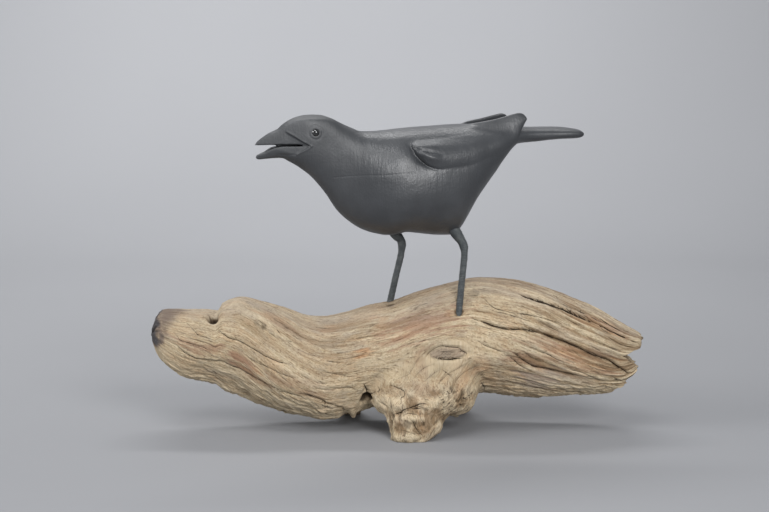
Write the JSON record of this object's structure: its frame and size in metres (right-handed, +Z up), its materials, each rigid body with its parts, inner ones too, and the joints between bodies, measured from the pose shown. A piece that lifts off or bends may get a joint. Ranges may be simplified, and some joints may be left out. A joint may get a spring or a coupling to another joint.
{
  "type": "crow decoy",
  "caption": "Life-size carved wooden crow with open bill and glass eyes, standing on wrapped rod legs on a gnarled driftwood base.",
  "frame": {"origin": "middle of the whole piece at the level of the base's soles", "axes": "+X along the log towards its splintered end, the crow's tail end; -Y towards the front root; +Z up"},
  "size_m": [0.592, 0.1768, 0.385],
  "materials": {
    "black_paint": "worn satin black paint over carved wood",
    "black_glass": "polished black glass",
    "painted_wrapping": "matte dark grey paint over cord wrapping",
    "driftwood": "bare weathered driftwood"
  },
  "bodies": {
    "root": {"crow_body": "black_paint", "left_eye": "black_glass", "right_eye": "black_glass", "left_leg": "painted_wrapping", "right_leg": "painted_wrapping", "driftwood_base": "driftwood"}
  },
  "joints": []
}
